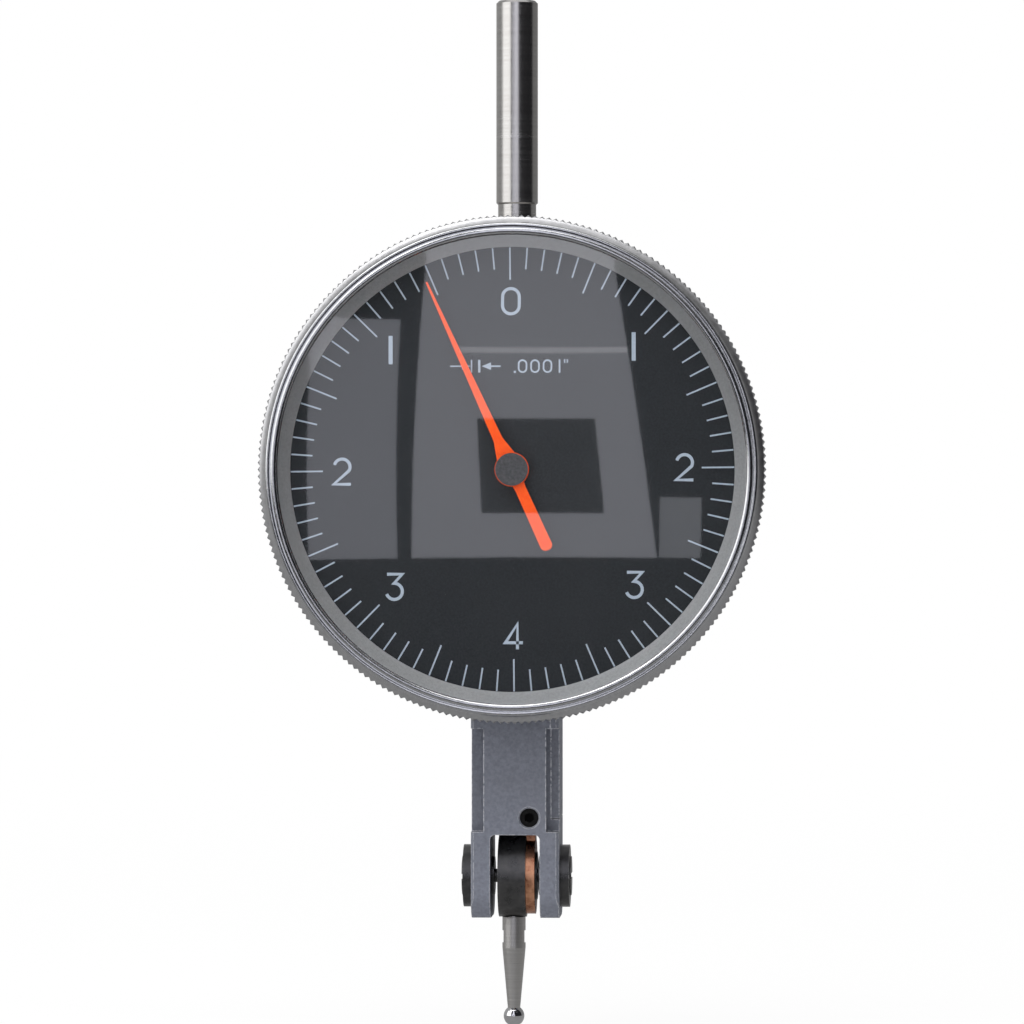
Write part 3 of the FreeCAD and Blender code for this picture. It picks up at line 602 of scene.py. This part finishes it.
def bowl(cu, cv, ru, rv, start, stop, count=14):
    """Points of an oval arc; angles in degrees, 0 to the right."""
    points = []
    for i in range(count + 1):
        angle = math.radians(start + (stop - start) * i / count)
        points.append((cu + ru * math.cos(angle), cv + rv * math.sin(angle)))
    return points


def numeral_strokes(digit):
    """Pen lines of a plain numeral in a box 1 wide and 1.5 high about (0, 0)."""
    if digit == "0":
        top = bowl(0, 0.25, 0.5, 0.5, 0, 180)
        low = bowl(0, -0.25, 0.5, 0.5, 180, 360)
        return [(top[:-1] + low[:-1], True)]
    if digit == "1":
        return [([(0, -0.75), (0, 0.75)], False)]
    if digit == "2":
        head = bowl(0, 0.28, 0.47, 0.47, 165, -28)
        return [(head + [(-0.5, -0.75), (0.52, -0.75)], False)]
    if digit == "3":
        head = [(-0.46, 0.75), (0.44, 0.75), (-0.05, 0.21)]
        loop = bowl(-0.03, -0.27, 0.48, 0.48, 82, -160)
        return [(head + loop, False)]
    return [([(0.2, -0.75), (0.2, 0.75), (-0.52, -0.36), (0.52, -0.36)], False)]


def ink_numeral(bm, digit, u, v, height, pen):
    """One numeral about (u, v); strokes that end square reach the full height."""
    size = (height - pen) / 1.5
    for points, closed in numeral_strokes(digit):
        tall = height / 1.5 if digit == "1" else size
        ink_stroke(bm, [(u + a * size, v + b * tall) for a, b in points], pen, closed)


def numerals(bm):
    height = 2.68 * MM
    pen = {"1": 0.385 * MM}
    ring = [
        ("0", -0.1, 15.9), ("1", 11.5, 11.6), ("1", -11.5, 11.3), ("2", 16.3, 0.2), ("2", -16.1, -0.2),
        ("3", 11.6, -10.9), ("3", -11.1, -11.1), ("4", 0.2, -15.8),
    ]
    for digit, u, v in ring:
        ink_numeral(bm, digit, u * MM, v * MM, height, pen.get(digit, 0.29 * MM))


def ink_rod(bm, u0, v0, u1, v1, width):
    """A straight pen line, places in millimetres."""
    ink_stroke(bm, [(u0 * MM, v0 * MM), (u1 * MM, v1 * MM)], width * MM)


def ink_head(bm, tip, back, v, half):
    """A solid arrow head, places in millimetres."""
    corners = [(tip * MM, v * MM), (back * MM, (v + half) * MM), (back * MM, (v - half) * MM)]
    ink_bar(bm, corners if tip > back else corners[::-1])


def unit_mark(bm):
    """Two arrows that meet at a pair of bars, then the value of one division."""
    v = 9.76
    ink_rod(bm, -5.84, v, -4.7, v, 0.14)
    ink_head(bm, -3.92, -4.75, v, 0.36)
    ink_rod(bm, -3.83, v - 0.6, -3.83, v + 0.6, 0.14)
    ink_rod(bm, -3.1, v - 0.6, -3.1, v + 0.6, 0.22)
    ink_head(bm, -2.86, -1.98, v, 0.36)
    ink_rod(bm, -2.0, v, -1.08, v, 0.14)
    height = 1.28
    dot = 0.1
    foot = v - height / 2 + dot
    ink_rod(bm, 0.27 - dot, foot, 0.27 + dot, foot, 2 * dot)
    for glyph, u in (("0", 1.0), ("0", 2.18), ("0", 3.36), ("1", 4.5)):
        ink_numeral(bm, glyph, u * MM, v * MM, height * MM, 0.16 * MM)
    for u in (4.98, 5.24):
        ink_rod(bm, u, v + 0.3, u, v + 0.66, 0.12)


def build_printing():
    bm = bmesh.new()
    scale_marks(bm)
    numerals(bm)
    unit_mark(bm)
    mesh = mesh_of("dial_printing", bm)
    add_piece("dial_printing", mesh, "bezel_unit", DIAL_INK)


# ---- camera, light and surroundings -----------------------------------------------------
def aim(thing, target):
    thing.rotation_euler = (Vector(target) - thing.location).to_track_quat("-Z", "Y").to_euler()


def place_camera():
    """Straight on to the dial from a little to the right, long lens."""
    rim_y = BEZEL_FRONT + 0.5 * MM
    target = Vector((0.1 * MM, rim_y, DIAL_CENTRE.z - 4.02 * MM))
    yaw = math.radians(3.1)
    away = 490 * MM
    seen_width = 96.4 * MM
    data = bpy.data.cameras.new("camera")
    data.sensor_width = 36
    data.lens = data.sensor_width * away / seen_width
    data.clip_start = 0.01
    camera = bpy.data.objects.new("camera", data)
    bpy.context.scene.collection.objects.link(camera)
    camera.location = target + Vector((math.sin(yaw), -math.cos(yaw), 0)) * away
    aim(camera, target)
    bpy.context.scene.camera = camera


def softbox(name, spot, target, width, height, power):
    data = bpy.data.lights.new(name, "AREA")
    data.shape = "RECTANGLE"
    data.size = width
    data.size_y = height
    data.energy = power
    lamp = bpy.data.objects.new(name, data)
    bpy.context.scene.collection.objects.link(lamp)
    lamp.location = Vector(spot)
    aim(lamp, target)


def card(name, low, high, rise, shade, reach=0.35):
    """A curved card that only reflections see.

    low and high are the spans in degrees that its foot and its head take round
    the dial, 0 straight in front and more to the right; rise is its span upward.
    """
    cells = 8
    bm = bmesh.new()
    rows = []
    for i in range(cells + 1):
        part = i / cells
        lift = math.radians(rise[0] + (rise[1] - rise[0]) * part)
        left = low[0] + (high[0] - low[0]) * part
        right = low[1] + (high[1] - low[1]) * part
        row = []
        for j in range(cells + 1):
            side = math.radians(left + (right - left) * j / cells)
            flat = math.cos(lift)
            way = Vector((math.sin(side) * flat, -math.cos(side) * flat, math.sin(lift)))
            row.append(bm.verts.new(DIAL_CENTRE + way * reach))
        rows.append(row)
    for under, over in zip(rows, rows[1:]):
        for j in range(cells):
            bm.faces.new((under[j], under[j + 1], over[j + 1], over[j]))
    board = bpy.data.objects.new(name, mesh_of(name, bm))
    bpy.context.scene.collection.objects.link(board)
    finish = Finish(name)
    finish.output(finish.glow(shade))
    board.data.materials.append(finish.material)
    board.visible_camera = False
    board.visible_diffuse = False
    board.visible_shadow = False
    board.visible_transmission = False


def hang_cards():
    """Pale windows and dark gaps for the crystal and the polished parts to mirror."""
    dark = (0.025, 0.025, 0.028)
    foot = -8.8
    card("main_window", (-13.5, 12.5), (-11.5, 3.0), (foot, 60), (1.4, 1.41, 1.56))
    card("gap_dark", (-15, -13.5), (-15, -11.5), (foot, 60), dark)
    card("left_window", (-24.5, -15), (-24.5, -15), (foot, 16), (1.15, 1.16, 1.3))
    card("left_top_dark", (-24.5, -15), (-24.5, -15), (16, 60), dark)
    card("left_dark", (-33, -24.5), (-33, -24.5), (foot, 60), dark)
    card("right_dark", (12.5, 98), (3.0, 98), (foot, 60), dark)
    card("right_window", (12.8, 17.2), (12.8, 17.2), (foot, -2.5), (1.0, 1.02, 1.12), 0.34)
    card("camera_dark", (-6.0, 7.0), (-6.5, 6.0), (-4.2, 5.8), (0.12, 0.12, 0.13), 0.33)
    card("lamp_arc", (-8.5, 9.5), (-8.5, 9.5), (12.7, 13.3), (2.6, 2.6, 2.8), 0.34)
    card("left_line", (-97, -94), (-97, -94), (foot, 50), (0.1, 0.1, 0.1))
    card("back_left", (-178, -97), (-178, -97), (foot, 60), (0.5, 0.5, 0.5))
    card("back_right", (98, 178), (98, 178), (foot, 60), (0.3, 0.3, 0.3))


def lay_floor():
    """A wide pale floor: white to the camera, and dark or grey to what mirrors it."""
    bm = bmesh.new()
    bmesh.ops.create_grid(bm, x_segments=1, y_segments=1, size=20.0)
    mesh = bpy.data.meshes.new("floor")
    bm.to_mesh(mesh)
    bm.free()
    floor = bpy.data.objects.new("floor", mesh)
    bpy.context.scene.collection.objects.link(floor)
    floor.location = (0, 0, CAD_BOX[0].z - 1.0 * MM)
    finish = Finish("pale floor")
    seen = finish.node("ShaderNodeLightPath", output="Is Camera Ray")
    away = finish.node("ShaderNodeVectorMath", {"operation": "LENGTH"}, {0: finish.place}, "Value")
    far = finish.limit(away, 0.0, 0.6)
    share = 1 - (1 - far) ** 3 * 0.11
    lit = finish.node("ShaderNodeBsdfDiffuse", {}, {"Color": (0.9, 0.9, 0.9, 1)}, "BSDF")
    white = finish.glow((1, 1, 1))
    plain = finish.node("ShaderNodeMixShader", {}, {0: seen * share, 1: lit, 2: white}, "Shader")
    depth = finish.node("ShaderNodeSeparateXYZ", {}, {0: finish.place}, "Y")
    near = finish.limit(depth, -0.10, -0.06, 1.0, 0.0)
    shade = finish.blend(near, (0.42, 0.42, 0.42), (0.03, 0.03, 0.033))
    mirrored = finish.node("ShaderNodeLightPath", output="Is Glossy Ray")
    sides = {0: mirrored, 1: plain, 2: finish.glow(shade)}
    finish.output(finish.node("ShaderNodeMixShader", {}, sides, "Shader"))
    mesh.materials.append(finish.material)


def surround():
    """Soft grey light all round, which the camera and mirrors see as white."""
    world = bpy.data.worlds.new("studio")
    bpy.context.scene.world = world
    world.use_nodes = True
    tree = world.node_tree
    tree.nodes.clear()
    path = tree.nodes.new("ShaderNodeLightPath")
    room = tree.nodes.new("ShaderNodeBackground")
    room.inputs["Color"].default_value = (1, 1, 1, 1)
    room.inputs["Strength"].default_value = 0.55
    white = tree.nodes.new("ShaderNodeBackground")
    white.inputs["Color"].default_value = (1, 1, 1, 1)
    white.inputs["Strength"].default_value = 1.0
    seen = path.outputs["Is Camera Ray"]
    for ray in ("Is Transmission Ray", "Is Glossy Ray"):
        either = tree.nodes.new("ShaderNodeMath")
        either.operation = "MAXIMUM"
        tree.links.new(seen, either.inputs[0])
        tree.links.new(path.outputs[ray], either.inputs[1])
        seen = either.outputs[0]
    mix = tree.nodes.new("ShaderNodeMixShader")
    tree.links.new(seen, mix.inputs[0])
    tree.links.new(room.outputs[0], mix.inputs[1])
    tree.links.new(white.outputs[0], mix.inputs[2])
    out = tree.nodes.new("ShaderNodeOutputWorld")
    tree.links.new(mix.outputs[0], out.inputs["Surface"])


def light_the_room():
    look = tuple(DIAL_CENTRE)
    softbox("top_box", (-0.1, -0.25, 0.42), look, 0.5, 0.35, 2.0)
    softbox("left_box", (-0.6, -0.45, 0.25), look, 0.9, 0.7, 2.7)
    softbox("right_box", (0.4, -0.3, 0.5), look, 0.2, 0.3, 0.6)


build_bezel()
build_dial_surround()
build_crystal()
build_printing()
place_camera()
lay_floor()
surround()
hang_cards()
light_the_room()
bpy.context.scene.view_settings.view_transform = "Standard"
